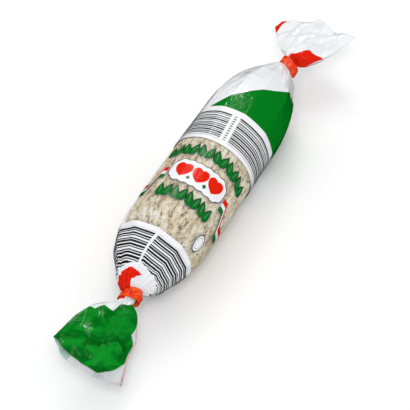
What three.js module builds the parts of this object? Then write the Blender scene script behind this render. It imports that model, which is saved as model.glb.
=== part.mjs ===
// A film-wrapped stick of air-dried salami, lying on a table.
// Frame: X along the stick, Z up, origin in the middle of the flat strip it rests on. Millimetres.
// Pieces: the salami, two casing clips, the wrapping film and the tape round each gathered neck.
import * as THREE from 'three';

// Wrapped body
const BODY_RADIUS = 28;        // outside of the film on the straight part
const HALF_BODY = 52;          // half the straight part's length
const SETTLE = 1;              // how far the round underside is pressed flat by the weight
const AXIS_HEIGHT = BODY_RADIUS - SETTLE;
const FILM = 0.5;              // wall that stands for the thin film
const GAP = 0.3;               // clearance between neighbouring pieces

// Gathered necks and their tape
const NECK_RADIUS = 5;
const NECK_HOLE = 1.2;         // the pleats leave a small hole down the middle
const NECK_LENGTH = 9;
const TAPE_WIDTH = 8;
const TAPE_THICK = 0.8;
const TAPE_TAB = 3;            // the tape's two ends, stuck together, stand out this far

// Casing tails and clips at the salami's ends
const CASING_TAIL_RADIUS = 2.2;
const CASING_TAIL_LENGTH = 5;
const CLIP_WIRE = 0.9;         // radius of the clip's wire
const CLIP_OPENING = 12;       // degrees between the closed clip's two tips

// Mesh density
const AROUND = 40;             // points round every section, two of them under the flat strip
const SHOULDER_STEPS = 8;
const TAIL_STEPS = 6;

const degrees = THREE.MathUtils.degToRad;

// The two ends. side is the direction along X. bulge and squareness shape the shoulder's outline:
// a high bulge keeps it full for longer, a high squareness makes it turn in late and steeply.
// tilt turns the tail's width about X from Y. The neck sits neckShift to the side of the stick's
// axis along that width, and the tail's mouth sits mouthShift to the side.
const NEAR = {
  side: -1,
  shoulder: { length: 46, radius: NECK_RADIUS, bulge: 1.5, squareness: 1.5 },
  dome: { length: 39.5, radius: CASING_TAIL_RADIUS, bulge: 1.7, squareness: 1.5 },
  tail: { length: 50, halfWidth: 24, halfThick: 9, slant: 1 },
  tilt: degrees(22),
  neckShift: -3.2,
  mouthShift: -4.8,
  tabAngle: degrees(-20),
};
const FAR = {
  side: 1,
  shoulder: { length: 60, radius: NECK_RADIUS, bulge: 2.1, squareness: 1 },
  dome: { length: 50, radius: CASING_TAIL_RADIUS, bulge: 2.1, squareness: 1.2 },
  tail: { length: 38, halfWidth: 30, halfThick: 8, slant: -2 },
  tilt: degrees(-8),
  neckShift: -2,
  mouthShift: -5.9,
  tabAngle: degrees(-50),
};

const neckStart = (end) => HALF_BODY + end.shoulder.length;
const neckEnd = (end) => neckStart(end) + NECK_LENGTH;

// Outline of a shoulder or a dome, as distances from the middle and radii, moved in by inset.
function shoulderOutline(cap, inset) {
  const fall = BODY_RADIUS - cap.radius;
  const at = (turn) => new THREE.Vector2(
    HALF_BODY + cap.length * Math.sin(turn) ** (2 / cap.bulge),
    cap.radius + fall * Math.cos(turn) ** (2 / cap.squareness),
  );
  const outline = [];
  for (let i = 0; i <= SHOULDER_STEPS; i += 1) {
    const turn = (i / SHOULDER_STEPS) * (Math.PI / 2);
    const small = 1e-3;
    const before = at(Math.max(turn - small, 0));
    const after = at(Math.min(turn + small, Math.PI / 2));
    const along = after.sub(before).normalize();
    outline.push(at(turn).add(new THREE.Vector2(along.y, -along.x).multiplyScalar(inset)));
  }
  return outline;
}

// One closed ring of points. floor is the height, from the axis, below which it is pressed flat.
function ring({ x, across, thick, tilt = 0, shift = 0, slant = 0 }, floor) {
  const points = [];
  for (let i = 0; i < AROUND; i += 1) {
    const angle = ((i + 0.5) / AROUND) * 2 * Math.PI - tilt;
    const reach = Math.cos(angle);
    const wide = shift + across * reach;
    const deep = thick * Math.sin(angle);
    const y = wide * Math.cos(tilt) - deep * Math.sin(tilt);
    const z = wide * Math.sin(tilt) + deep * Math.cos(tilt);
    points.push(new THREE.Vector3(x + slant * reach, y, AXIS_HEIGHT + Math.max(z, floor)));
  }
  return points;
}

const roundRing = (x, radius, floor) => ring({ x, across: radius, thick: radius }, floor);

// How far sideways the shoulder has gone at distance x from the middle. It bends over its outer
// half, where it is clear of the salami, and reaches all of neckShift at the neck.
function shoulderShift(end, x) {
  const bendStart = HALF_BODY + end.shoulder.length / 2;
  return end.neckShift * THREE.MathUtils.smoothstep(x, bendStart, neckStart(end));
}

// Skin over a list of rings. A looped skin joins its last ring to its first, and a capped one
// ends in a fan at each end. Rings run from low X to high X on the outside.
function skin(rings, { looped }) {
  const triangles = [];
  const bands = looped ? rings.length : rings.length - 1;
  for (let j = 0; j < bands; j += 1) {
    const low = rings[j];
    const high = rings[(j + 1) % rings.length];
    for (let i = 0; i < AROUND; i += 1) {
      const k = (i + 1) % AROUND;
      triangles.push(low[i], high[k], high[i], low[i], low[k], high[k]);
    }
  }
  if (!looped) {
    const middle = (points) => points.reduce((sum, p) => sum.add(p), new THREE.Vector3())
      .divideScalar(points.length);
    const first = rings[0];
    const last = rings[rings.length - 1];
    for (let i = 0; i < AROUND; i += 1) {
      const k = (i + 1) % AROUND;
      triangles.push(middle(first), first[k], first[i], middle(last), last[i], last[k]);
    }
  }
  const geometry = new THREE.BufferGeometry().setFromPoints(triangles);
  geometry.computeVertexNormals();
  return geometry;
}

// The film's rings at one end, from the neck out to the mouth, moved in by inset.
function tailRings(end, inset) {
  const { side, tail, tilt } = end;
  const radius = inset > 0 ? NECK_HOLE : NECK_RADIUS;
  const rings = [];
  for (let i = 0; i <= TAIL_STEPS; i += 1) {
    const along = i / TAIL_STEPS;
    const spread = Math.sin((along * Math.PI) / 2);
    rings.push(ring({
      x: side * (neckEnd(end) + tail.length * along),
      across: radius + (tail.halfWidth - inset - radius) * spread,
      thick: radius + (tail.halfThick - inset - radius) * spread,
      tilt,
      shift: THREE.MathUtils.lerp(end.neckShift, end.mouthShift, along),
      slant: tail.slant * along,
    }, -AXIS_HEIGHT));
  }
  return rings;
}

// All the film's rings on one surface, from the near mouth to the far mouth.
function filmRings(inset) {
  const floor = inset - AXIS_HEIGHT;
  const half = (end) => {
    const outline = shoulderOutline(end.shoulder, inset);
    if (inset > 0) outline.push(new THREE.Vector2(neckStart(end) - inset, NECK_HOLE));
    const shoulder = outline.map((p) => ring({
      x: end.side * p.x,
      across: p.y,
      thick: p.y,
      tilt: end.tilt,
      shift: shoulderShift(end, p.x),
    }, floor));
    return [...shoulder, ...tailRings(end, inset)];
  };
  return [...half(NEAR).reverse(), ...half(FAR)];
}

function wrapperFilm() {
  return skin([...filmRings(0), ...filmRings(FILM).reverse()], { looped: true });
}

// The salami in its own mould-covered skin, with the gathered tail of its casing at each end.
function salami() {
  const inset = FILM + GAP;
  const half = (end) => {
    const dome = shoulderOutline(end.dome, 0)
      .map((p) => new THREE.Vector2(p.x, p.y * (1 - inset / BODY_RADIUS)));
    const tip = HALF_BODY + end.dome.length;
    dome.push(new THREE.Vector2(tip + CASING_TAIL_LENGTH, CASING_TAIL_RADIUS));
    return dome.map((p) => roundRing(end.side * p.x, p.y, inset - AXIS_HEIGHT));
  };
  return skin([...half(NEAR).reverse(), ...half(FAR)], { looped: false });
}

// A clip: round wire bent into a ring about the X axis, open by a sliver at the top.
function casingClip() {
  const radius = CASING_TAIL_RADIUS + GAP + CLIP_WIRE;
  const start = Math.PI / 2 + degrees(CLIP_OPENING / 2);
  const sweep = 2 * Math.PI - degrees(CLIP_OPENING);
  const bend = new THREE.Curve();
  bend.getPoint = (t, target = new THREE.Vector3()) => {
    const angle = start + sweep * t;
    return target.set(0, radius * Math.cos(angle), radius * Math.sin(angle));
  };
  const wire = new THREE.Shape();
  wire.absarc(0, 0, CLIP_WIRE, 0, 2 * Math.PI);
  return new THREE.ExtrudeGeometry(wire, {
    steps: 24, curveSegments: 5, extrudePath: bend, bevelEnabled: false,
  });
}

// Tape once round a neck, with its two ends stuck together as a tab that points along +X of its
// outline. The outline is extruded along the neck.
function neckTape() {
  const inner = NECK_RADIUS + GAP;
  const outer = inner + TAPE_THICK;
  const corner = Math.asin(TAPE_THICK / outer);
  const outline = new THREE.Shape();
  outline.moveTo(outer + TAPE_TAB, -TAPE_THICK);
  outline.lineTo(outer + TAPE_TAB, TAPE_THICK);
  outline.absarc(0, 0, outer, corner, 2 * Math.PI - corner, false);
  outline.closePath();
  const bore = new THREE.Path();
  bore.absarc(0, 0, inner, 0, 2 * Math.PI, true);
  outline.holes.push(bore);
  return new THREE.ExtrudeGeometry(outline, {
    depth: TAPE_WIDTH, curveSegments: 28, bevelEnabled: false,
  });
}

const meat = new THREE.MeshStandardMaterial({ color: 0xb9aa8c, roughness: 0.85, metalness: 0 });
const film = new THREE.MeshStandardMaterial({ color: 0xeceef0, roughness: 0.2, metalness: 0 });
const tape = new THREE.MeshStandardMaterial({ color: 0xe83212, roughness: 0.3, metalness: 0 });
const metal = new THREE.MeshStandardMaterial({ color: 0xb8babd, roughness: 0.35, metalness: 1 });

const part = new THREE.Group();

function addPiece(name, geometry, material) {
  const piece = new THREE.Mesh(geometry, material);
  piece.name = name;
  part.add(piece);
  return piece;
}

addPiece('salami', salami(), meat);
addPiece('wrapper_film', wrapperFilm(), film);

for (const [place, end] of [['near', NEAR], ['far', FAR]]) {
  const clip = addPiece(`casing_clip_${place}`, casingClip(), metal);
  const clipMiddle = HALF_BODY + end.dome.length + CASING_TAIL_LENGTH / 2;
  clip.position.set(end.side * clipMiddle, 0, AXIS_HEIGHT);

  const band = addPiece(`neck_tape_${place}`, neckTape(), tape);
  const slack = (NECK_LENGTH - TAPE_WIDTH) / 2;
  const lowEdge = end.side > 0 ? neckStart(end) + slack : -neckEnd(end) + slack;
  band.position.set(
    lowEdge,
    end.neckShift * Math.cos(end.tilt),
    AXIS_HEIGHT + end.neckShift * Math.sin(end.tilt),
  );
  // The outline's own X turns to the tab's direction, and its Z, along which it is extruded, to X.
  const towardTab = new THREE.Vector3(0, -Math.cos(end.tabAngle), Math.sin(end.tabAngle));
  const alongNeck = new THREE.Vector3(1, 0, 0);
  const sideways = new THREE.Vector3().crossVectors(alongNeck, towardTab);
  band.quaternion.setFromRotationMatrix(
    new THREE.Matrix4().makeBasis(towardTab, sideways, alongNeck),
  );
}

export default part;
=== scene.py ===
"""A film-wrapped stick of air-dried salami on a table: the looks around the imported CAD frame.

The film is one printed sheet rolled into a tube. Its surface is worked out section by section from
the near tail to the far tail, and its print is a node pattern on the sheet's own UV map.
"""
import math

import bpy
import numpy as np
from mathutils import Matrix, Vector


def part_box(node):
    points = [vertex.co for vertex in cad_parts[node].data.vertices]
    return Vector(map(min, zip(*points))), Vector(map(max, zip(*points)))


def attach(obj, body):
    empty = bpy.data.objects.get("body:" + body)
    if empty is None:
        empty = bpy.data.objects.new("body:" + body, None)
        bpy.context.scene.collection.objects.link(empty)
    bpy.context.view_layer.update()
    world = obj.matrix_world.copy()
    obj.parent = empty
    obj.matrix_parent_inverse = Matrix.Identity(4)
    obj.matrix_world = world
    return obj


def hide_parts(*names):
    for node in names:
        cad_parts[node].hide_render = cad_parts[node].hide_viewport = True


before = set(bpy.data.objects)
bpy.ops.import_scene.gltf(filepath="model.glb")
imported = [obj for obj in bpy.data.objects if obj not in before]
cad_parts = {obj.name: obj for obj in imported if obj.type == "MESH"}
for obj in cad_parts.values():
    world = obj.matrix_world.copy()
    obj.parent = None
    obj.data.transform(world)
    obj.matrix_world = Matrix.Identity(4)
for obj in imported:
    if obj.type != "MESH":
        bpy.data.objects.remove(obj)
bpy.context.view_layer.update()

MM = 0.001

# ---------------------------------------------------------------- sizes, in millimetres

BODY_RADIUS = 28.0       # outside of the film on the straight part
SETTLE = 1.0             # how far the underside is pressed flat by the stick's weight
HALF_BODY = 52.0         # half the straight part's length
NECK_RADIUS = 5.0
AXIS_HEIGHT = BODY_RADIUS - SETTLE
FILM_THICK = 0.1
SEAM_LAP = 8.0           # the sheet's overlap along its seam, on the underside
PRINT_TURN = 22.1        # the label's middle faces this many degrees from straight up, toward -Y


def box_mm(node):
    low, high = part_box(node)
    return [v / MM for v in low], [v / MM for v in high]


near_tape_low, near_tape_high = box_mm("neck_tape_near")
far_tape_low, far_tape_high = box_mm("neck_tape_far")
salami_low, salami_high = box_mm("salami")
NECK_SLACK = 0.5         # the neck is longer than its tape by this much at each end
NECK_SLANT = 0.42        # the tapes are wound aslant: this far along for every unit across


class End:
    """One gathered end. Distances run from the stick's middle, and across runs toward the label's
    lower edge. The tail's two edges and its rim are straight between the points given here:
    (distance past the neck, across) for the edges, and (across, distance) for the rim."""

    def __init__(self, side, tape, tilt, neck_shift, left_edge, right_edge, rim):
        self.side = side
        self.neck_start = tape[0] - NECK_SLACK
        self.neck_end = tape[1] + NECK_SLACK
        self.tilt = math.radians(tilt)
        self.neck_shift = neck_shift
        self.left_edge = left_edge
        self.right_edge = right_edge
        self.rim = rim


NEAR = End(
    -1, (-near_tape_high[0], -near_tape_low[0]), tilt=22, neck_shift=2.6,
    left_edge=((0, -3), (16, -13.3), (28, -17.2), (48, -20.5)),
    right_edge=((0, 8), (8, 15.5), (19, 22), (30, 23.2), (49, 28.6)),
    rim=((-20.5, 153), (-16, 157), (-8, 159), (0, 160), (7, 158.5), (13.5, 159), (24, 158.5),
         (29, 155)),
)
FAR = End(
    1, (far_tape_low[0], far_tape_high[0]), tilt=-8, neck_shift=2.2,
    left_edge=((0, -3.4), (8.5, -7.6), (16, -14.5), (34, -24)),
    right_edge=((0, 8.4), (3.4, 15), (10.7, 20.8), (27, 32.5), (36.5, 35)),
    rim=((-24, 151), (-22.5, 155.5), (-16, 157), (-2, 159.5), (7, 162.5), (15.5, 160),
         (25.5, 154.5), (35, 157)),
)

# ---------------------------------------------------------------- the film's surface

AROUND = 288
SHOULDER_ROWS = 48
NECK_ROWS = 8
BODY_ROWS = 44
TAIL_ROWS = 54
NECK_PLEATS = 19
LOWER_TUCKS = 11         # round each tail, but only its lower layer shows them
CROSS_FOLD_PITCH = 7.5

# Every column's angle from +Z toward -Y. The seam is underneath, and the sheet starts a lap before
# it, so that the first columns lie under the last.
LAP = SEAM_LAP / BODY_RADIUS
turn = np.linspace(-np.pi - LAP, np.pi, AROUND)
under_lap = 0.25 * np.clip((-np.pi - turn) / LAP + 0.6, 0, 1)


def smooth(x, low, high):
    t = np.clip((x - low) / (high - low), 0, 1)
    return t * t * (3 - 2 * t)


def mix(a, b, share):
    return a + (b - a) * share


def triangle_wave(x):
    """Straight-sided wave between -1 and 1 with a period of 2 pi."""
    return 2 / np.pi * np.arcsin(np.sin(x))


def between_points(x, points):
    """Height at x of a line that is straight from point to point."""
    places, heights = zip(*points)
    return np.interp(x, places, heights)


def wander(angle, seed, strength=0.35):
    """The same angle with its spacing made uneven, so that repeated folds aren't alike."""
    rng = np.random.default_rng(seed)
    out = angle.copy()
    for k in range(1, 6):
        out += strength / k * np.sin(k * angle + rng.uniform(0, 2 * np.pi))
    return out


def crumple(across, along, size, seed, layers=6):
    """Flat facets that meet in straight creases, about size across, between -1 and 1."""
    rng = np.random.default_rng(seed)
    out = np.zeros(np.broadcast(across, along).shape)
    for _ in range(layers):
        heading = rng.uniform(0, np.pi)
        pitch = size * rng.uniform(0.6, 1.8)
        phase = (across * np.cos(heading) + along * np.sin(heading)) * 2 * np.pi / pitch
        out = out + triangle_wave(phase + rng.uniform(0, 2 * np.pi))
    return out / layers * 1.6


def facets(angle, ridges):
    """Radius factor of a many-sided section whose corners are at the ridges."""
    corners = np.radians(sorted(ridges))
    corners = np.append(corners, corners[0] + 2 * np.pi)
    wrapped = (angle - corners[0]) % (2 * np.pi) + corners[0]
    cell = np.clip(np.searchsorted(corners, wrapped, side="right") - 1, 0, len(corners) - 2)
    half = (corners[cell + 1] - corners[cell]) / 2
    middle = (corners[cell + 1] + corners[cell]) / 2
    return np.cos(half) / np.cos(wrapped - middle)


def placed(end, x, across, deep):
    """Points from distance x along the stick, across toward the label's lower edge, and deep
    toward the label's face, about the stick's axis. Round the neck they lie aslant."""
    gathered = smooth(x, end.neck_start - 14, end.neck_start) * (
        1 - smooth(x, end.neck_end, end.neck_end + 14))
    x = x - NECK_SLANT * gathered * np.clip(across - end.neck_shift, -7, 7)
    y = -across * np.cos(end.tilt) - deep * np.sin(end.tilt)
    z = -across * np.sin(end.tilt) + deep * np.cos(end.tilt)
    z = np.maximum(z, -AXIS_HEIGHT)
    return np.stack(np.broadcast_arrays(end.side * x, y, z + AXIS_HEIGHT), axis=-1)


def uneven(angle):
    """A distance that goes round with the angle and comes back to where it started."""
    return 24 * np.sin(angle) + 11 * np.cos(2 * angle + 0.7)


def pleat_wave(angle, count, seed):
    """Knife pleats: a slow rise and a quick drop, unevenly spaced, between -1 and 1."""
    phase = wander(angle, seed, 0.25) * count
    return 0.75 * triangle_wave(phase) + 0.35 * triangle_wave(2 * phase + 1.1)


def shoulder_rows(end, bulge, squareness, ridges, first_facets, first_pleats, fuller_left, seed):
    """From the body to the neck. bulge and squareness shape the outline, as in a superellipse.
    first_facets is how far the body's edge is faceted, first_pleats where along the shoulder the
    pleats begin, and fuller_left how far the left side stands out."""
    rows = []
    lean = turn - end.tilt
    for i in range(1, SHOULDER_ROWS + 1):
        a = math.sin(i / SHOULDER_ROWS * math.pi / 2) ** (2 / bulge)
        fall = math.cos(i / SHOULDER_ROWS * math.pi / 2) ** (2 / squareness)
        x = mix(HALF_BODY, end.neck_start, a)
        radius = mix(NECK_RADIUS, BODY_RADIUS, fall)
        facet_share = mix(first_facets, 1, smooth(a, 0.02, 0.45)) * (1 - 0.5 * smooth(a, 0.8, 1.0))
        rho = radius * mix(1, facets(lean, ridges), facet_share)
        rho = rho + fuller_left * math.sin(math.pi * a) * np.clip(-np.sin(lean), 0, 1)
        depth = 1.0 * smooth(a, first_pleats, 1.0) * (radius / BODY_RADIUS) ** 0.25
        rho = rho + depth * pleat_wave(lean + 0.5 * a, NECK_PLEATS, seed)
        rho = rho + 0.3 * smooth(a, 0.0, 0.3) * crumple(uneven(lean), x, 11, seed + 1)
        shift = end.neck_shift * smooth(a, 0.5, 1.0)
        rho = rho - under_lap
        rows.append(placed(end, x, shift + rho * np.sin(lean), rho * np.cos(lean)))
    return rows


def neck_section(end, share, seed):
    """Radii round the neck, share of the way along it."""
    lean = turn - end.tilt
    return NECK_RADIUS - 0.9 + 1.1 * pleat_wave(lean + 0.5 + 0.3 * share, NECK_PLEATS, seed) - under_lap


def neck_rows(end, seed):
    rows = []
    lean = turn - end.tilt
    for i in range(1, NECK_ROWS + 1):
        x = mix(end.neck_start, end.neck_end, i / NECK_ROWS)
        rho = neck_section(end, i / NECK_ROWS, seed)
        rows.append(placed(end, x, end.neck_shift + rho * np.sin(lean), rho * np.cos(lean)))
    return rows


def tail_rows(end, gape, swell, cross_folds, seed):
    """From the neck to the open rim. The tube is nearly flat here: its upper layer is broadly
    crumpled, and the film left over is tucked away in the lower one. gape is how far apart the
    layers are at the rim, on the left and on the right. swell is how far both bend together, and
    cross_folds how deep the creases are that run across the tail's right half near the neck."""
    rows = []
    lean = turn - end.tilt
    neck = neck_section(end, 1.0, seed)
    upper = np.sign(np.cos(lean))
    edge = np.abs(np.cos(lean)) ** 0.6
    below = smooth(-np.cos(lean), -0.05, 0.45)
    last = end.left_edge[-1][0], end.right_edge[-1][0]
    rim_across = mix(end.left_edge[-1][1], end.right_edge[-1][1], 0.5 + 0.5 * np.sin(lean))
    rim = between_points(rim_across, end.rim)
    for i in range(1, TAIL_ROWS + 1):
        t = i / TAIL_ROWS
        left = between_points(t * last[0], end.left_edge)
        right = between_points(t * last[1], end.right_edge)
        share = mix(np.sin(lean), triangle_wave(lean), 0.5 * smooth(t, 0, 0.5))
        across = mix(left, right, 0.5 + 0.5 * share)
        x = mix(end.neck_end, rim, t)
        apart = mix(NECK_RADIUS, mix(gape[0], gape[1], 0.5 + 0.5 * share), smooth(t, 0, 0.7))
        height = apart * np.cos(lean)

        tuck = smooth(t, 0.02, 0.3) * (1 - 0.75 * smooth(t, 0.7, 1.0)) * below
        across = across + 2.3 * tuck * np.sin(LOWER_TUCKS * lean + 0.6)
        height = height - 1.5 * tuck * np.cos(LOWER_TUCKS * lean + 0.6)
        fine = 0.7 * (1 - smooth(t, 0.05, 0.25)) * pleat_wave(lean + 0.8, NECK_PLEATS, seed)
        broad = 1.7 * smooth(t, 0.05, 0.3) * crumple(across, x, 11, seed + 2, layers=5)
        creases = smooth(t, 0.03, 0.15) * smooth(across, -8, 6) * (1 - smooth(t, 0.5, 0.8))
        broad = broad + cross_folds * creases * triangle_wave(
            (x - 0.4 * across) * 2 * np.pi / CROSS_FOLD_PITCH)
        height = height + edge * (upper * fine + broad * (1 - below))
        together = smooth(t, 0.05, 0.5) * crumple(across * 1.3, x * 0.8, 27, seed + 3, layers=4)
        height = height + swell * (1 - 0.5 * smooth(t, 0.55, 1.0)) * together + under_lap

        open_share = smooth(t, 0, 0.12)
        across = mix(end.neck_shift + neck * np.sin(lean), across, open_share)
        height = mix(neck * np.cos(lean), height, open_share)
        rows.append(placed(end, x, across, height))
    return rows


NEAR_RIDGES = (-150, -112, -80, -47, -14, 26, 60, 84, 112, 145, 178)
FAR_RIDGES = (-165, -135, -104, -72, -38, -6, 26, 63, 98, 126, 155)
NEAR_FACETS = 0.25       # how far the body's edge already has the shoulder's flat facets
FAR_FACETS = 0.5


def body_rows():
    rows = []
    near_shape = facets(turn - NEAR.tilt, NEAR_RIDGES)
    far_shape = facets(turn - FAR.tilt, FAR_RIDGES)
    for i in range(BODY_ROWS + 1):
        x = mix(-HALF_BODY, HALF_BODY, i / BODY_ROWS)
        shape = mix(1, near_shape, NEAR_FACETS * smooth(-x, 25, HALF_BODY))
        shape = shape * mix(1, far_shape, FAR_FACETS * smooth(x, 5, HALF_BODY))
        rho = BODY_RADIUS * shape + 0.12 * crumple(uneven(turn), x, 30, 31) - under_lap
        z = np.maximum(rho * np.cos(turn), -AXIS_HEIGHT) + under_lap
        rows.append(np.stack([np.full(AROUND, x), -rho * np.sin(turn), z + AXIS_HEIGHT], axis=-1))
    return rows


def film_grid():
    near = shoulder_rows(NEAR, bulge=1.5, squareness=1.5, ridges=NEAR_RIDGES,
                         first_facets=NEAR_FACETS, first_pleats=0.6, fuller_left=1.6, seed=41)
    near += neck_rows(NEAR, seed=41)
    near += tail_rows(NEAR, gape=(5.0, 2.6), swell=3.4, cross_folds=0.8, seed=43)
    far = shoulder_rows(FAR, bulge=2.1, squareness=1.0, ridges=FAR_RIDGES,
                        first_facets=FAR_FACETS, first_pleats=0.35, fuller_left=0.0, seed=51)
    far += neck_rows(FAR, seed=51)
    far += tail_rows(FAR, gape=(3.0, 3.0), swell=3.2, cross_folds=0.3, seed=51)
    return np.array(near[::-1] + body_rows() + far)


def grid_mesh(name, grid, sheet_v):
    """Quads over the grid, with the sheet's own UV map: U around, V along."""
    rows, around = grid.shape[:2]
    mesh = bpy.data.meshes.new(name)
    index = np.arange(rows * around).reshape(rows, around)
    quads = np.stack([index[:-1, :-1], index[:-1, 1:], index[1:, 1:], index[1:, :-1]], axis=-1)
    mesh.from_pydata((grid.reshape(-1, 3) * MM).tolist(), [], quads.reshape(-1, 4).tolist())
    u_low = np.tile(np.arange(around - 1) / (around - 1), rows - 1)
    v_low = np.repeat(sheet_v[:-1], around - 1)
    v_high = np.repeat(sheet_v[1:], around - 1)
    u_high = u_low + 1 / (around - 1)
    corners = np.stack([u_low, v_low, u_high, v_low, u_high, v_high, u_low, v_high], axis=-1)
    uv = mesh.uv_layers.new(name="sheet")
    uv.data.foreach_set("uv", corners.reshape(-1).astype(np.float32))
    mesh.polygons.foreach_set("use_smooth", [True] * len(mesh.polygons))
    piece = bpy.data.objects.new(name, mesh)
    bpy.context.collection.objects.link(piece)
    return piece


grid = film_grid()
steps = np.linalg.norm(np.diff(grid, axis=0), axis=2).mean(axis=1)
along = np.concatenate([[0], np.cumsum(steps)])
SHEET_LENGTH = float(along[-1])
body_start = TAIL_ROWS + NECK_ROWS + SHOULDER_ROWS
LEAD = float(along[body_start] + HALF_BODY)        # sheet length from the near rim to x = 0
NEAR_NECK_OUT = float(LEAD - along[TAIL_ROWS])      # from x = 0 to the near neck's outer end
FAR_NECK_OUT = float(along[-1 - TAIL_ROWS] - LEAD)
MM_PER_DEGREE = math.radians(BODY_RADIUS)

wrapper = grid_mesh("printed_wrapper", grid, along / SHEET_LENGTH)
wall = wrapper.modifiers.new("film thickness", "SOLIDIFY")
wall.thickness = FILM_THICK * MM
wall.offset = -1
wall.material_offset = 1
wall.material_offset_rim = 0

# ---------------------------------------------------------------- shader formulas


class Wire:
    """A number in a node tree, so that a printed pattern reads as a formula."""

    def __init__(self, tree, socket):
        self.tree = tree
        self.socket = socket

    def math(self, operation, *others, clamp=False):
        node = self.tree.nodes.new("ShaderNodeMath")
        node.operation = operation
        node.use_clamp = clamp
        self.tree.links.new(self.socket, node.inputs[0])
        for i, other in enumerate(others, start=1):
            if isinstance(other, Wire):
                self.tree.links.new(other.socket, node.inputs[i])
            else:
                node.inputs[i].default_value = other
        return Wire(self.tree, node.outputs[0])

    def __add__(self, other):
        return self.math("ADD", other)

    __radd__ = __add__

    def __mul__(self, other):
        return self.math("MULTIPLY", other)

    __rmul__ = __mul__

    def __sub__(self, other):
        return self.math("SUBTRACT", other)

    def __rsub__(self, other):
        return self.math("MULTIPLY_ADD", -1.0, other)

    def __truediv__(self, other):
        return self.math("DIVIDE", other)

    def abs(self):
        return self.math("ABSOLUTE")

    def sin(self):
        return self.math("SINE")

    def sqrt(self):
        return self.math("SQRT")

    def fract(self):
        return self.math("FRACT")

    def least(self, other):
        return self.math("MINIMUM", other)

    def most(self, other):
        return self.math("MAXIMUM", other)

    def above(self, limit, soft=0.25):
        """1 where this is more than limit, 0 where less, with an edge soft wide."""
        offset = self - limit
        return offset.math("MULTIPLY_ADD", 1 / soft, 0.5, clamp=True)

    def below(self, limit, soft=0.25):
        offset = self - limit
        return offset.math("MULTIPLY_ADD", -1 / soft, 0.5, clamp=True)

    def between(self, low, high, soft=0.25):
        return self.above(low, soft) * self.below(high, soft)


def new_node(tree, kind, **inputs):
    """A node of this kind with its inputs set or linked. Input names have _ for spaces."""
    node = tree.nodes.new(kind)
    for name, value in inputs.items():
        socket = node.inputs[name.replace("_", " ")]
        if isinstance(value, Wire):
            tree.links.new(value.socket, socket)
        elif isinstance(value, bpy.types.NodeSocket):
            tree.links.new(value, socket)
        else:
            socket.default_value = value
    return node


def mixed_colour(tree, share, under, over):
    """Colour over on colour under, by share. Each colour is a socket or four numbers."""
    node = tree.nodes.new("ShaderNodeMix")
    node.data_type = "RGBA"
    if isinstance(share, Wire):
        tree.links.new(share.socket, node.inputs["Factor"])
    else:
        node.inputs["Factor"].default_value = share
    for socket, value in ((node.inputs[6], under), (node.inputs[7], over)):
        if isinstance(value, bpy.types.NodeSocket):
            tree.links.new(value, socket)
        else:
            socket.default_value = value
    return node.outputs[2]


def linear(red, green, blue):
    """A screen colour, 0 to 255, as a shader colour."""
    def one(value):
        value /= 255
        return value / 12.92 if value <= 0.04045 else ((value + 0.055) / 1.055) ** 2.4
    return one(red), one(green), one(blue), 1.0


def new_group(name, inputs, outputs):
    """An empty shader group and its two end nodes. Sockets are given as (name, kind, value)."""
    group = bpy.data.node_groups.new(name, "ShaderNodeTree")
    for socket_name, kind, value in inputs:
        socket = group.interface.new_socket(socket_name, in_out="INPUT", socket_type=kind)
        socket.default_value = value
    for socket_name, kind in outputs:
        group.interface.new_socket(socket_name, in_out="OUTPUT", socket_type=kind)
    return group, group.nodes.new("NodeGroupInput"), group.nodes.new("NodeGroupOutput")


def place_group(tree, group, **inputs):
    node = tree.nodes.new("ShaderNodeGroup")
    node.node_tree = group
    for name, value in inputs.items():
        socket = node.inputs[name.replace("_", " ")]
        if isinstance(value, Wire):
            tree.links.new(value.socket, socket)
        elif isinstance(value, bpy.types.NodeSocket):
            tree.links.new(value, socket)
        else:
            socket.default_value = value
    return node


def new_material(name):
    """A material with a Principled surface. Returns the material, its tree and the surface."""
    material = bpy.data.materials.new(name)
    material.use_nodes = True
    tree = material.node_tree
    return material, tree, tree.nodes["Principled BSDF"]


# ---------------------------------------------------------------- the print

WHITE = linear(238, 239, 242)
INK_BLACK = linear(26, 26, 30)
INK_GREY = linear(120, 120, 124)
GREEN = linear(0, 122, 28)
LEAF_GREEN = linear(8, 112, 40)
LEAF_VEIN = linear(112, 164, 104)
RED = linear(226, 32, 6)
PINK = linear(236, 120, 124)
CLEAR = linear(236, 236, 232)
DARK_OUTLINE = linear(46, 38, 32)

# Places along the sheet from the stick's middle, in millimetres
WINDOW = (-66.4, 9.0)
NEAR_RINGS = (-89.5, -69.8)
FAR_RINGS = (12.0, 35.3)
FAR_GREEN = 39.5         # the green starts here
FAR_GREEN_LIMIT = 86.5   # and ends here at the latest
UPPER_GARLAND = -0.9
PLAQUE = -20.6
RIBBONS = -24.5          # the ribbons' upper ends
LOWER_GARLAND = -38.2
OVAL = -56.0

LABEL_MIDDLE = -7.5      # degrees round the label that its motifs are centred on
OVAL_DEGREES = 44.0
HEART_PITCH = 11.5


class Print:
    """Layers of ink on the clear sheet, each over the last."""

    def __init__(self, tree, colour):
        self.tree = tree
        self.colour = colour
        self.cover = None

    def lay(self, mask, colour, strength=1.0):
        self.colour = mixed_colour(self.tree, mask, self.colour, colour)
        inked = mask * strength
        self.cover = inked if self.cover is None else self.cover.most(inked)

    def clear(self, mask, share=1.0):
        """Takes this share of the ink off where mask is 1."""
        self.cover = self.cover * (1 - mask * share)
        self.colour = mixed_colour(self.tree, mask * share, self.colour, CLEAR)


def length_of(a, b):
    return (a * a + b * b).sqrt()


def rising(value, start, end):
    """0 up to start, then evenly up to 1 at end."""
    return ((value - start) / (end - start)).most(0.0).least(1.0)


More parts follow.
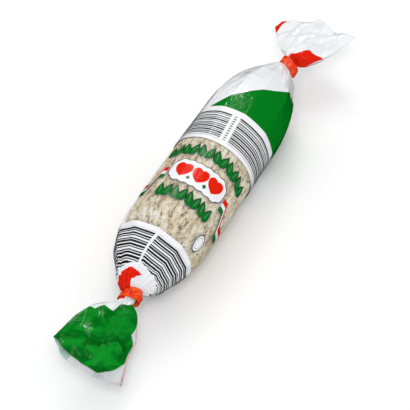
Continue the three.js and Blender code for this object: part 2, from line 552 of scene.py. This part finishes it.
def lay_garland(sheet, along, degrees, middle, sag, half_turn, half_height, leaves):
    """A bowed row of broad leaves that lean to the left and to the right by turns. sag is how
    far the row drops for each squared degree from its middle."""
    bow = (degrees - LABEL_MIDDLE) * (degrees - LABEL_MIDDLE) * sag
    up = (along - middle + bow) / half_height
    pitch = 2 * half_turn * MM_PER_DEGREE / leaves
    beside = (degrees - LABEL_MIDDLE) * MM_PER_DEGREE + half_turn * MM_PER_DEGREE
    leaning = (beside / (2 * pitch)).fract().above(0.5, 0.01) * 2.0 - 1.0
    from_vein = (((beside / pitch).fract() - 0.5) * pitch - leaning * up * 0.9).abs()
    half_width = (1.0 - up) * (up + 1.0).most(0.0).sqrt() * (pitch * 0.44)
    row = (degrees - LABEL_MIDDLE).abs().below(half_turn, 0.05) * up.abs().below(1.12, 0.05)
    sheet.lay((from_vein - half_width).below(0.45) * row, DARK_OUTLINE)
    sheet.lay((from_vein - half_width).below(-0.15) * row, LEAF_GREEN)
    sheet.lay(from_vein.below(0.16, 0.2) * up.abs().below(0.5, 0.1) * row, LEAF_VEIN)


def lay_ribbon(sheet, along, degrees, inner, outer):
    """A three-striped ribbon that swings once, from beside the plaque down toward the near end."""
    swing = rising(degrees, mix(inner, outer, 0.28), mix(inner, outer, 0.62))
    offset = along - RIBBONS + swing * 14.0
    middle = (inner + outer) / 2
    length = (degrees - middle).abs().below(abs(outer - inner) / 2, 0.8)
    width = 5.0 - (swing - 0.5).abs().below(0.45, 0.2) * 0.8
    sheet.lay((offset.abs() - width).below(0.35) * length, DARK_OUTLINE)
    whole = (offset.abs() - width).below(0.0) * length
    sheet.lay(whole, WHITE)
    sheet.lay(offset.below(-1.4) * whole, LEAF_GREEN)
    sheet.lay(offset.above(1.4) * whole, RED)


def lay_plaque(sheet, along, degrees):
    """A white plaque with a dark scalloped line round it, three red hearts, and lozenges between."""
    up = along - PLAQUE
    beside = (degrees - LABEL_MIDDLE) * MM_PER_DEGREE
    scallops = (beside * (2 * math.pi / HEART_PITCH)).sin().abs() * 0.8
    rim = length_of((beside.abs() - 12.6).most(0.0), (up.abs() - 1.8).most(0.0)) - scallops
    sheet.lay(rim.below(7.3), DARK_OUTLINE)
    sheet.lay(rim.below(6.7), WHITE)
    x = ((beside / HEART_PITCH + 0.5).fract() - 0.5) * (HEART_PITCH / 4.9)
    y = (up + 0.4) / 5.2
    heart = x * x + y * y - 1.0 - y * x.abs().math("POWER", 0.667)
    hearts = beside.abs().below(1.5 * HEART_PITCH, 0.05)
    sheet.lay(heart.below(0.0, 0.12) * hearts, RED)
    from_gap = (beside / HEART_PITCH).fract() - 0.5
    lozenge = from_gap.abs() * HEART_PITCH + (up + 4.6).abs() * 0.8
    sheet.lay(lozenge.below(1.5) * beside.abs().below(HEART_PITCH, 0.05), LEAF_GREEN)


def build_print():
    group, _, out = new_group("sheet print", [], [("Ink", "NodeSocketColor"),
                                                 ("Cover", "NodeSocketFloat")])
    uv = group.nodes.new("ShaderNodeUVMap")
    uv.uv_map = "sheet"
    parts = new_node(group, "ShaderNodeSeparateXYZ", Vector=uv.outputs[0])
    lap_degrees = math.degrees(LAP)
    degrees = Wire(group, parts.outputs[0]) * (360 + lap_degrees) - (180 + lap_degrees + PRINT_TURN)
    along = Wire(group, parts.outputs[1]) * SHEET_LENGTH - LEAD
    sheet = Print(group, WHITE)

    # White ground, all but the window
    sheet.lay(1 - along.between(*WINDOW), WHITE)

    # Two bands of rings of uneven width, each broken by a narrow plain column
    rhythm = (along * 3.7 + 0.7).sin() + (along * 6.3 + 2.0).sin() * 0.7 + (along * 1.9).sin() * 0.5
    rings = rhythm.above(-0.2, 0.3)
    far_column = degrees + 9.0 + (along - FAR_RINGS[0]) * 0.16
    far_band = along.between(*FAR_RINGS) * far_column.abs().above(6.2, 0.5)
    near_column = degrees + 10.6 - (along + 68.0) * 0.46
    near_foot = along + (degrees + 17.0).abs() * 0.08
    near_band = along.below(NEAR_RINGS[1]) * near_foot.above(NEAR_RINGS[0])
    near_band = near_band * near_column.abs().above(2.2, 0.5)
    sheet.lay(rings * far_band.most(near_band) * (1 - degrees.between(150, 156, 0.4)), INK_BLACK)
    dots = (along / 2.1).fract().below(0.55, 0.2) * along.between(13.0, 34.5)
    sheet.lay(dots * far_column.abs().below(1.8, 0.8), INK_GREY)

    # Green and white bands that run slantwise round the far shoulder, with red by the neck
    green_edge = (40.2 + (degrees + 58.5) * 0.468).least(FAR_GREEN_LIMIT)
    beyond = along.above(FAR_GREEN)
    sheet.lay(beyond * (along - green_edge).below(0.0), GREEN)
    red_edge = (along - degrees * 0.2).above(133.0)
    sheet.lay(red_edge * along.below(FAR_NECK_OUT - 6.0) * degrees.below(-40.0), RED)

    # The white is thin where it was stretched round the far shoulder's corner
    thin = along.between(86.0, 112.0, 2.0) * degrees.between(24.0, 62.0, 3.0)
    sheet.clear(thin, 0.35)

    # Red flash on the near shoulder, which runs in under the tape
    flash_top = along + 93.0 + (degrees + 33.6).abs() * 0.085
    flash_side = degrees - (7.2 * along + 686.0).most(-29.5)
    flash = flash_top.below(0.0) * flash_side.below(0.0, 1.0) * degrees.above(-130.0)
    sheet.lay(flash * along.above(-NEAR_NECK_OUT), RED)

    # Near tail: a plain stepped collar, then green, then clear film to the rim
    near_out = -1.0 * along - NEAR_NECK_OUT
    in_near_tail = near_out.above(-2.0)
    steps = degrees.above(-57.0, 5.0) + degrees.above(-17.0, 5.0)
    collar = 20.9 - steps * 7.2 - (degrees + 17.0).most(0.0) * 0.06
    green_end = 62.0 - (degrees - 2.0).most(0.0) * 0.31
    notch = 20.0 - (near_out - 19.0).abs() * 3.3
    green_side = degrees + notch.most(0.0)
    sheet.lay(in_near_tail * (near_out - collar).above(0.0, 0.4), GREEN)
    bare = (near_out - green_end).above(0.0, 0.5)
    bare = bare.most(green_side.above(78.0, 1.0)).most(degrees.below(-150.0, 1.0))
    sheet.clear(in_near_tail * bare * near_out.above(2.0))
    sheet.lay(in_near_tail * bare * near_out.above(2.0), WHITE, 0.2)
    hem = in_near_tail * bare * degrees.between(79.0, 99.0)
    lines = (degrees - 82.0).abs().below(1.6, 1.2).most((degrees - 93.0).abs().below(1.4, 1.2))
    sheet.lay(hem * 0.5, WHITE)
    sheet.lay(hem * lines * near_out.above(14.0, 2.0), PINK)
    smear = (near_out - 54.5 + (degrees - 60.0) * 0.05).abs().below(0.9, 1.8)
    sheet.lay(in_near_tail * smear * degrees.between(36.0, 80.0, 8.0) * 0.45, PINK)

    # Far tail: white with a red patch by the neck and a red corner
    far_out = along - FAR_NECK_OUT
    patch = far_out - ((degrees + 42.0) * 0.4).least(15.0)
    sheet.lay(far_out.above(-9.0) * patch.below(0.0, 0.4) * degrees.between(-42.0, 120.0), RED)
    corner = far_out - 34.5 - (degrees + 120.0) * 0.25
    sheet.lay(corner.above(0.0) * degrees.between(-130.0, -60.0) * far_out.above(0.0), RED)

    # The label's motifs in the window
    lay_garland(sheet, along, degrees, UPPER_GARLAND, sag=0.0012, half_turn=64.0,
                half_height=4.9, leaves=12)
    lay_garland(sheet, along, degrees, LOWER_GARLAND, sag=0.0010, half_turn=41.0,
                half_height=5.2, leaves=8)
    lay_ribbon(sheet, along, degrees, inner=-52.0, outer=-80.0)
    lay_ribbon(sheet, along, degrees, inner=37.0, outer=72.0)
    lay_plaque(sheet, along, degrees)

    # A plain white oval with a dark outline
    oval = length_of((along - OVAL) / 6.6, (degrees - OVAL_DEGREES) * (MM_PER_DEGREE / 3.9))
    sheet.lay((oval - 1.24).abs().below(0.03, 0.06), WHITE, 0.35)
    sheet.lay(oval.below(1.0, 0.05), DARK_OUTLINE)
    sheet.lay(oval.below(0.87, 0.05), WHITE)
    sheet.lay((oval - 0.62).abs().below(0.03, 0.05), INK_GREY)

    group.links.new(sheet.colour, out.inputs["Ink"])
    group.links.new(sheet.cover.socket, out.inputs["Cover"])
    return group


print_group = build_print()


FOLD_HEADING = 48        # the tails' folds run this many degrees to the right of the stick's length


def film_material(name, backing, clear_alpha):
    """Glossy printed film. backing is how far a pale tint lies over the ink, as from the inside."""
    material, tree, surface = new_material(name)
    inks = place_group(tree, print_group)
    colour = mixed_colour(tree, backing, inks.outputs["Ink"], linear(214, 226, 232))
    place = tree.nodes.new("ShaderNodeTexCoord")
    turned = new_node(tree, "ShaderNodeMapping", Vector=place.outputs["Object"],
                      Rotation=(0, 0, math.radians(FOLD_HEADING)))
    drawn_out = new_node(tree, "ShaderNodeMapping", Vector=turned.outputs[0],
                         Scale=(0.42, 1.25, 1.0))
    folds = new_node(tree, "ShaderNodeTexNoise", Vector=drawn_out.outputs[0], Scale=85.0,
                     Detail=3.0, Roughness=0.5, Distortion=0.9)
    fold = Wire(tree, folds.outputs["Fac"])
    at = new_node(tree, "ShaderNodeSeparateXYZ", Vector=place.outputs["Object"])
    in_near_tail = Wire(tree, at.outputs[0]).below(-112 * MM, 12 * MM)
    in_far_tail = Wire(tree, at.outputs[0]).above(125 * MM, 12 * MM)

    # Painted shade: the ink is darkened down in the tails' folds and along thin crease lines, and
    # painted light makes it paler on the near tail's crests
    crease = (fold - 0.5).abs().below(0.018, 0.05)
    painted_fold_shade = fold.below(0.44, 0.2).most(crease * 0.6) * (in_near_tail * 0.5 + in_far_tail * 0.06)
    cover = Wire(tree, inks.outputs["Cover"])
    colour = mixed_colour(tree, painted_fold_shade * cover, colour, linear(0, 24, 0))
    # Painted highlight: a paler green on the near tail's crests
    pale = fold.above(0.56, 0.18) * in_near_tail * cover * 0.22
    colour = mixed_colour(tree, pale, colour, linear(34, 196, 62))
    tree.links.new(colour, surface.inputs["Base Color"])
    alpha = cover * (1 - clear_alpha) + clear_alpha
    tree.links.new(alpha.socket, surface.inputs["Alpha"])
    surface.inputs["Roughness"].default_value = 0.14
    surface.inputs["Coat Weight"].default_value = 0.5
    surface.inputs["Coat Roughness"].default_value = 0.05
    lengthwise = new_node(tree, "ShaderNodeMapping", Vector=place.outputs["Object"],
                          Scale=(0.35, 1.0, 1.0))
    ripple = new_node(tree, "ShaderNodeTexNoise", Vector=lengthwise.outputs[0], Scale=190.0,
                      Detail=4.0, Roughness=0.6, Distortion=0.5)
    tail_relief = fold * (in_near_tail * 3.5 + in_far_tail * 1.5)

    # Fine lengthwise crinkles on the far shoulder's upper left
    crinkled = Wire(tree, at.outputs[0]).between(40 * MM, 78 * MM, 12 * MM)
    crinkled = crinkled * Wire(tree, at.outputs[1]).above(-10 * MM, 8 * MM)
    streaks = new_node(tree, "ShaderNodeTexNoise", Vector=lengthwise.outputs[0], Scale=240.0,
                       Detail=1.0, Roughness=0.4, Distortion=0.3)
    streak_relief = Wire(tree, streaks.outputs["Fac"]) * crinkled * 2.2
    relief = tail_relief + streak_relief + Wire(tree, ripple.outputs["Fac"])
    bump = new_node(tree, "ShaderNodeBump", Strength=0.6, Distance=0.0009, Height=relief)
    tree.links.new(bump.outputs["Normal"], surface.inputs["Normal"])
    return material


wrapper.data.materials.append(film_material("printed film outside", 0.0, 0.07))
wrapper.data.materials.append(film_material("printed film inside", 0.8, 0.05))

# ---------------------------------------------------------------- the salami

SALAMI_RADIUS = 27.25    # before its lumps
NEAR_SLIMMER = 0.3       # how much slimmer it is by each end of the straight part
FAR_SLIMMER = 0.65
SALAMI_AROUND = 128
CASING_TAIL_RADIUS = 2.1
CASING_TAIL_LENGTH = 5.0
DOME_STEPS = 26
BODY_STEP = 2.0
SALAMI_REST = 0.45       # height of the pressed underside, on the film's own underside


def mode(name):
    bpy.ops.object.mode_set(mode=name)


def start_modelling():
    if bpy.context.object and bpy.context.object.mode != "OBJECT":
        mode("OBJECT")
    bpy.ops.object.select_all(action="DESELECT")


def finish_place():
    """Puts the object's place and turn into its mesh."""
    mode("OBJECT")
    bpy.ops.object.transform_apply(location=True, rotation=True, scale=True)


def roughen(piece, name, lump, strength):
    """Pushes the surface in and out by up to half of strength, in lumps of this size, all mm."""
    texture = bpy.data.textures.new(name, "CLOUDS")
    texture.noise_scale = lump * MM
    texture.noise_depth = 3
    push = piece.modifiers.new(name, "DISPLACE")
    push.texture = texture
    push.strength = strength * MM
    push.mid_level = 0.5
    bpy.ops.object.modifier_apply(modifier=push.name)


def dome_stations(length, first_radius, bulge, squareness):
    """Distances from the middle and radii, from the edge of the straight part to the tip."""
    stations = []
    for i in range(1, DOME_STEPS + 1):
        angle = i / DOME_STEPS * math.pi / 2
        a = math.sin(angle) ** (2 / bulge)
        radius = mix(CASING_TAIL_RADIUS, first_radius, math.cos(angle) ** (2 / squareness))
        slimmer = 1 - 0.055 * float(smooth(a, 0.0, 0.4))
        stations.append((HALF_BODY + length * a, radius * slimmer))
    tip = HALF_BODY + length + CASING_TAIL_LENGTH
    stations.append((tip - 1.5, CASING_TAIL_RADIUS))
    stations.append((tip, CASING_TAIL_RADIUS * 1.5))
    return stations


def model_salami():
    straight_and_tail = HALF_BODY + CASING_TAIL_LENGTH
    near_dome = dome_stations(-salami_low[0] - straight_and_tail, SALAMI_RADIUS - NEAR_SLIMMER,
                              bulge=1.7, squareness=1.5)
    far_dome = dome_stations(salami_high[0] - straight_and_tail, SALAMI_RADIUS - FAR_SLIMMER,
                             bulge=2.1, squareness=1.2)
    body = []
    for x in np.arange(-HALF_BODY, HALF_BODY + 0.1, BODY_STEP).tolist():
        slimmer = NEAR_SLIMMER * smooth(-x, 25, HALF_BODY) + FAR_SLIMMER * smooth(x, 5, 45)
        body.append((x, SALAMI_RADIUS - float(slimmer)))
    stations = [(-x, radius) for x, radius in near_dome[::-1]] + body + far_dome

    start_modelling()
    x, radius = stations[0]
    bpy.ops.mesh.primitive_circle_add(
        vertices=SALAMI_AROUND, radius=radius * MM, fill_type="NGON",
        location=(x * MM, 0, AXIS_HEIGHT * MM), rotation=(0, math.pi / 2, 0))
    piece = bpy.context.object
    piece.name = "dried_salami"
    mode("EDIT")
    for next_x, next_radius in stations[1:]:
        bpy.ops.mesh.extrude_region_move(
            TRANSFORM_OT_translate={"value": ((next_x - x) * MM, 0, 0)})
        grow = next_radius / radius
        bpy.ops.transform.resize(value=(1, grow, grow), center_override=(0, 0, AXIS_HEIGHT * MM))
        x, radius = next_x, next_radius
    bpy.ops.mesh.select_all(action="SELECT")
    bpy.ops.mesh.normals_make_consistent(inside=False)
    finish_place()
    roughen(piece, "sagging hollows", 16, 0.35)
    roughen(piece, "dried wrinkles", 3.5, 0.5)

    # The underside is pressed flat where the stick rests
    mode("EDIT")
    bpy.ops.mesh.select_mode(type="VERT")
    bpy.ops.mesh.select_all(action="DESELECT")
    mode("OBJECT")
    for vertex in piece.data.vertices:
        vertex.select = vertex.co.z < SALAMI_REST * MM
    mode("EDIT")
    bpy.ops.transform.resize(value=(1, 1, 0), center_override=(0, 0, SALAMI_REST * MM))
    mode("OBJECT")
    bpy.ops.object.shade_smooth_by_angle(angle=math.radians(50))
    return piece


def salami_material():
    """Dry dusty mould in pale crumbs over a brown dried skin, streaked along the stick."""
    material, tree, surface = new_material("mould-covered salami skin")
    place = tree.nodes.new("ShaderNodeTexCoord")
    streaks = new_node(tree, "ShaderNodeMapping", Vector=place.outputs["Object"],
                       Scale=(0.45, 1.0, 1.0))
    patches = new_node(tree, "ShaderNodeTexNoise", Vector=place.outputs["Object"], Scale=60.0,
                       Detail=3.0, Roughness=0.5)
    crumbs = new_node(tree, "ShaderNodeTexNoise", Vector=streaks.outputs[0], Scale=330.0,
                      Detail=6.0, Roughness=0.75)
    pits = new_node(tree, "ShaderNodeTexNoise", Vector=streaks.outputs[0], Scale=430.0,
                    Detail=3.0, Roughness=0.6, Distortion=1.2)
    tone = Wire(tree, crumbs.outputs["Fac"]) * 0.78 + Wire(tree, patches.outputs["Fac"]) * 0.22
    ramp = new_node(tree, "ShaderNodeValToRGB", Fac=tone)
    stops = ramp.color_ramp
    stops.elements[0].position = 0.38
    stops.elements[0].color = linear(150, 122, 84)
    stops.elements[1].position = 0.62
    stops.elements[1].color = linear(255, 252, 242)
    for position, colour in ((0.45, (208, 186, 144)), (0.52, (238, 224, 190))):
        stop = stops.elements.new(position)
        stop.color = linear(*colour)
    pit = Wire(tree, pits.outputs["Fac"]).below(0.385, 0.06)
    colour = mixed_colour(tree, pit * 0.85, ramp.outputs[0], linear(104, 78, 48))
    tree.links.new(colour, surface.inputs["Base Color"])
    surface.inputs["Roughness"].default_value = 0.85
    relief = tone * 1.5 - pit * 0.45
    bump = new_node(tree, "ShaderNodeBump", Strength=1.0, Distance=0.0020, Height=relief)
    tree.links.new(bump.outputs["Normal"], surface.inputs["Normal"])
    return material


salami = model_salami()
salami.data.materials.append(salami_material())

# ---------------------------------------------------------------- the tapes and the clips

TAPE_RADIUS = 5.5
TAPE_WIDTH = 7.2
TAPE_SHIFT = 1.0         # toward the body
TAPE_THICK = 0.12
TAPE_AROUND = 72
TAPE_STEPS = 16          # along the tube that the slanted band is cut from
TAB_STEPS = 3


def model_tape(name, end, tab_lean, tab_length, tab_toward_body):
    """A band wound aslant round the neck, with its two ends stuck together in a short tab. The
    tab leans to the body's side where tab_toward_body is 1, and to the tail's where it is -1."""
    middle = (end.neck_start + end.neck_end) / 2 - TAPE_SHIFT
    centre = Vector(placed(end, middle, end.neck_shift, 0)) * MM
    start_modelling()
    length = TAPE_WIDTH * 2
    bpy.ops.mesh.primitive_circle_add(
        vertices=TAPE_AROUND, radius=TAPE_RADIUS * MM, fill_type="NOTHING",
        location=centre - Vector((length / 2 * MM, 0, 0)), rotation=(0, math.pi / 2, 0))
    piece = bpy.context.object
    piece.name = name
    mode("EDIT")
    for _ in range(TAPE_STEPS):
        bpy.ops.mesh.extrude_region_move(
            TRANSFORM_OT_translate={"value": (length / TAPE_STEPS * MM, 0, 0)})
    aslant = Vector((end.side, -NECK_SLANT * math.cos(end.tilt), -NECK_SLANT * math.sin(end.tilt)))
    for side in (-1, 1):
        bpy.ops.mesh.select_all(action="SELECT")
        bpy.ops.mesh.bisect(
            plane_co=centre + Vector((end.side * side * TAPE_WIDTH / 2 * MM, 0, 0)),
            plane_no=aslant * side, clear_outer=True)
    bpy.ops.mesh.select_all(action="SELECT")
    bpy.ops.mesh.remove_doubles(threshold=0.00001)
    bpy.ops.mesh.normals_make_consistent(inside=False)
    finish_place()
    roughen(piece, name + " wrinkles", 5, 0.7)

    # The tab grows from the faces of one column
    outward = tab_lean + end.tilt
    toward = Vector((0, -math.sin(outward), math.cos(outward)))
    for polygon in piece.data.polygons:
        from_axis = polygon.center - centre
        from_axis.x = 0
        polygon.select = from_axis.angle(toward) < math.radians(0.55 * 360 / TAPE_AROUND)
    mode("EDIT")
    bpy.ops.mesh.select_mode(type="FACE")
    for _ in range(TAB_STEPS):
        bpy.ops.mesh.extrude_region_move(
            TRANSFORM_OT_translate={"value": toward * (tab_length / TAB_STEPS * MM)})
        bpy.ops.transform.resize(value=(0.84, 1, 1), center_override=centre)
        bpy.ops.transform.translate(value=(-end.side * tab_toward_body * 0.6 * MM, 0, 0))
    bpy.ops.mesh.select_mode(type="VERT")
    bpy.ops.mesh.select_all(action="SELECT")
    bpy.ops.mesh.normals_make_consistent(inside=False)
    mode("OBJECT")
    wall = piece.modifiers.new("tape thickness", "SOLIDIFY")
    wall.thickness = TAPE_THICK * MM
    wall.offset = -1
    bpy.ops.object.modifier_apply(modifier=wall.name)
    bpy.ops.object.shade_smooth_by_angle(angle=math.radians(45))
    return piece


def tape_material():
    """Shiny red plastic tape, a little stretched and creased where it crosses the pleats."""
    material, tree, surface = new_material("red tape")
    place = tree.nodes.new("ShaderNodeTexCoord")
    creases = new_node(tree, "ShaderNodeTexNoise", Vector=place.outputs["Object"], Scale=420.0,
                       Detail=4.0, Roughness=0.6, Distortion=0.6)
    crease = Wire(tree, creases.outputs["Fac"])
    colour = mixed_colour(tree, crease.above(0.56, 0.1), linear(236, 54, 6), linear(250, 104, 24))
    colour = mixed_colour(tree, crease.below(0.40, 0.08), colour, linear(196, 30, 8))
    tree.links.new(colour, surface.inputs["Base Color"])
    surface.inputs["Roughness"].default_value = 0.22
    surface.inputs["Coat Weight"].default_value = 0.4
    bump = new_node(tree, "ShaderNodeBump", Strength=0.5, Distance=0.0008, Height=crease)
    tree.links.new(bump.outputs["Normal"], surface.inputs["Normal"])
    return material


def clip_material():
    """Drawn aluminium wire, scuffed by the clipping tool."""
    material, tree, surface = new_material("clip wire")
    place = tree.nodes.new("ShaderNodeTexCoord")
    scuffs = new_node(tree, "ShaderNodeTexNoise", Vector=place.outputs["Object"], Scale=1500.0,
                      Detail=4.0, Roughness=0.6)
    scuff = Wire(tree, scuffs.outputs["Fac"])
    colour = mixed_colour(tree, scuff, linear(172, 173, 176), linear(222, 223, 226))
    tree.links.new(colour, surface.inputs["Base Color"])
    roughness = scuff * 0.3 + 0.2
    tree.links.new(roughness.socket, surface.inputs["Roughness"])
    surface.inputs["Metallic"].default_value = 1.0
    bump = new_node(tree, "ShaderNodeBump", Strength=0.3, Distance=0.0002, Height=scuff)
    tree.links.new(bump.outputs["Normal"], surface.inputs["Normal"])
    return material


near_tape = model_tape("tape_near", NEAR, tab_lean=math.radians(94), tab_length=2.0,
                       tab_toward_body=-1)
far_tape = model_tape("tape_far", FAR, tab_lean=math.radians(100), tab_length=3.0,
                      tab_toward_body=1)
red_tape = tape_material()
near_tape.data.materials.append(red_tape)
far_tape.data.materials.append(red_tape)

clip_wire = clip_material()
for node in ("casing_clip_near", "casing_clip_far"):
    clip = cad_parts[node]
    clip.data.materials.clear()
    clip.data.materials.append(clip_wire)

# ---------------------------------------------------------------- floor, light and camera


def floor_material():
    material, _, surface = new_material("white table")
    surface.inputs["Base Color"].default_value = (0.93, 0.93, 0.93, 1)
    surface.inputs["Roughness"].default_value = 0.6
    return material


bpy.ops.object.select_all(action="DESELECT")
bpy.ops.mesh.primitive_plane_add(size=6)
floor = bpy.context.object
floor.name = "floor"
floor.data.materials.append(floor_material())
floor.visible_glossy = False


def area_light(name, place, size, power, shows_in_gloss=False, look_at=(0, 0, 0.027)):
    light = bpy.data.lights.new(name, "AREA")
    light.shape = "RECTANGLE"
    light.size, light.size_y = size
    light.energy = power
    lamp = bpy.data.objects.new(name, light)
    bpy.context.collection.objects.link(lamp)
    lamp.location = place
    lamp.rotation_euler = (Vector(look_at) - Vector(place)).to_track_quat("-Z", "Y").to_euler()
    lamp.visible_glossy = shows_in_gloss


area_light("key", (-0.5, -0.25, 0.9), (0.35, 0.35), 2.8)
area_light("back softbox", (0.66, 0.30, 0.86), (0.5, 0.3), 1.3)
area_light("tail sheen", (0.42, 0.39, 0.80), (0.25, 0.2), 0.25, shows_in_gloss=True)
area_light("shoulder glint", (0.80, 0.42, 0.71), (0.30, 0.05), 0.8, shows_in_gloss=True)
area_light("back strip", (0.72, 0.16, 1.0), (0.5, 0.025), 0.3, shows_in_gloss=True)
area_light("glint strip", (-0.5, -0.2, 1.0), (0.4, 0.02), 0.3, shows_in_gloss=True)

world = bpy.data.worlds.new("studio")
world.use_nodes = True
world.node_tree.nodes["Background"].inputs["Color"].default_value = (1, 1, 1, 1)
world.node_tree.nodes["Background"].inputs["Strength"].default_value = 0.80
world.cycles_visibility.glossy = False
bpy.context.scene.world = world
bpy.context.scene.view_settings.view_transform = "Standard"

CAMERA_DOWN = math.radians(49.43)
CAMERA_ROUND = math.radians(27.38)
CAMERA_DISTANCE = 1.0
aim = Vector((-18.8, -9.8, AXIS_HEIGHT)) * MM
heading = Vector((math.cos(CAMERA_ROUND) * math.cos(CAMERA_DOWN),
                  math.sin(CAMERA_ROUND) * math.cos(CAMERA_DOWN), -math.sin(CAMERA_DOWN)))
camera = bpy.data.objects.new("camera", bpy.data.cameras.new("camera"))
bpy.context.collection.objects.link(camera)
camera.location = aim - heading * CAMERA_DISTANCE
camera.rotation_euler = heading.to_track_quat("-Z", "Y").to_euler()
camera.data.lens = 141.0
camera.data.sensor_width = 36
bpy.context.scene.camera = camera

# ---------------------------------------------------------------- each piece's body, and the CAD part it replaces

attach(wrapper, "root")
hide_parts("wrapper_film")

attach(salami, "root")
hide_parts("salami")

for tape, node in ((near_tape, "neck_tape_near"), (far_tape, "neck_tape_far")):
    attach(tape, "root")
    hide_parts(node)
